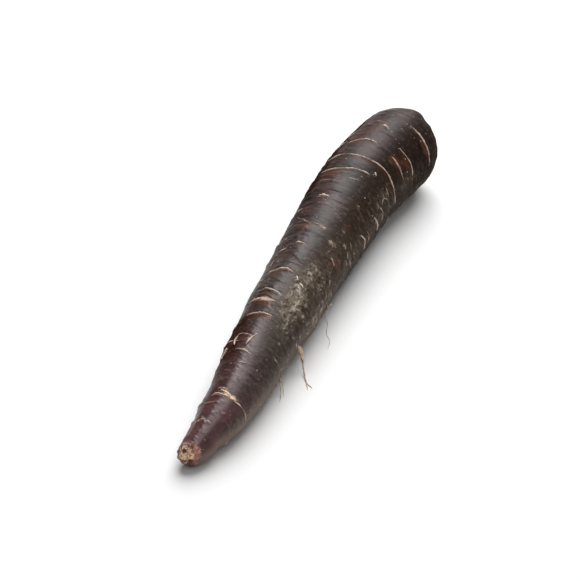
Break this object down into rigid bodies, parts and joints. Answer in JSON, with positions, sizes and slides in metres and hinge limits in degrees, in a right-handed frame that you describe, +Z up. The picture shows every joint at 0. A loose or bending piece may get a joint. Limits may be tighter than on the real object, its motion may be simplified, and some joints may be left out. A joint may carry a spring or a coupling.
{
  "type": "black carrot",
  "caption": "Whole dark purple-black tapering root lying on its side, with a trimmed crown and a blunt broken tip.",
  "frame": {"origin": "on the surface that the root lies on, under the middle of its bounding box", "axes": "+X along the root towards the crown, +Z up, +Y to the left seen from the thin end"},
  "size_m": [0.202, 0.0394, 0.0357],
  "materials": {
    "root": "satin"
  },
  "bodies": {
    "root": {"carrot": "root"}
  },
  "joints": []
}
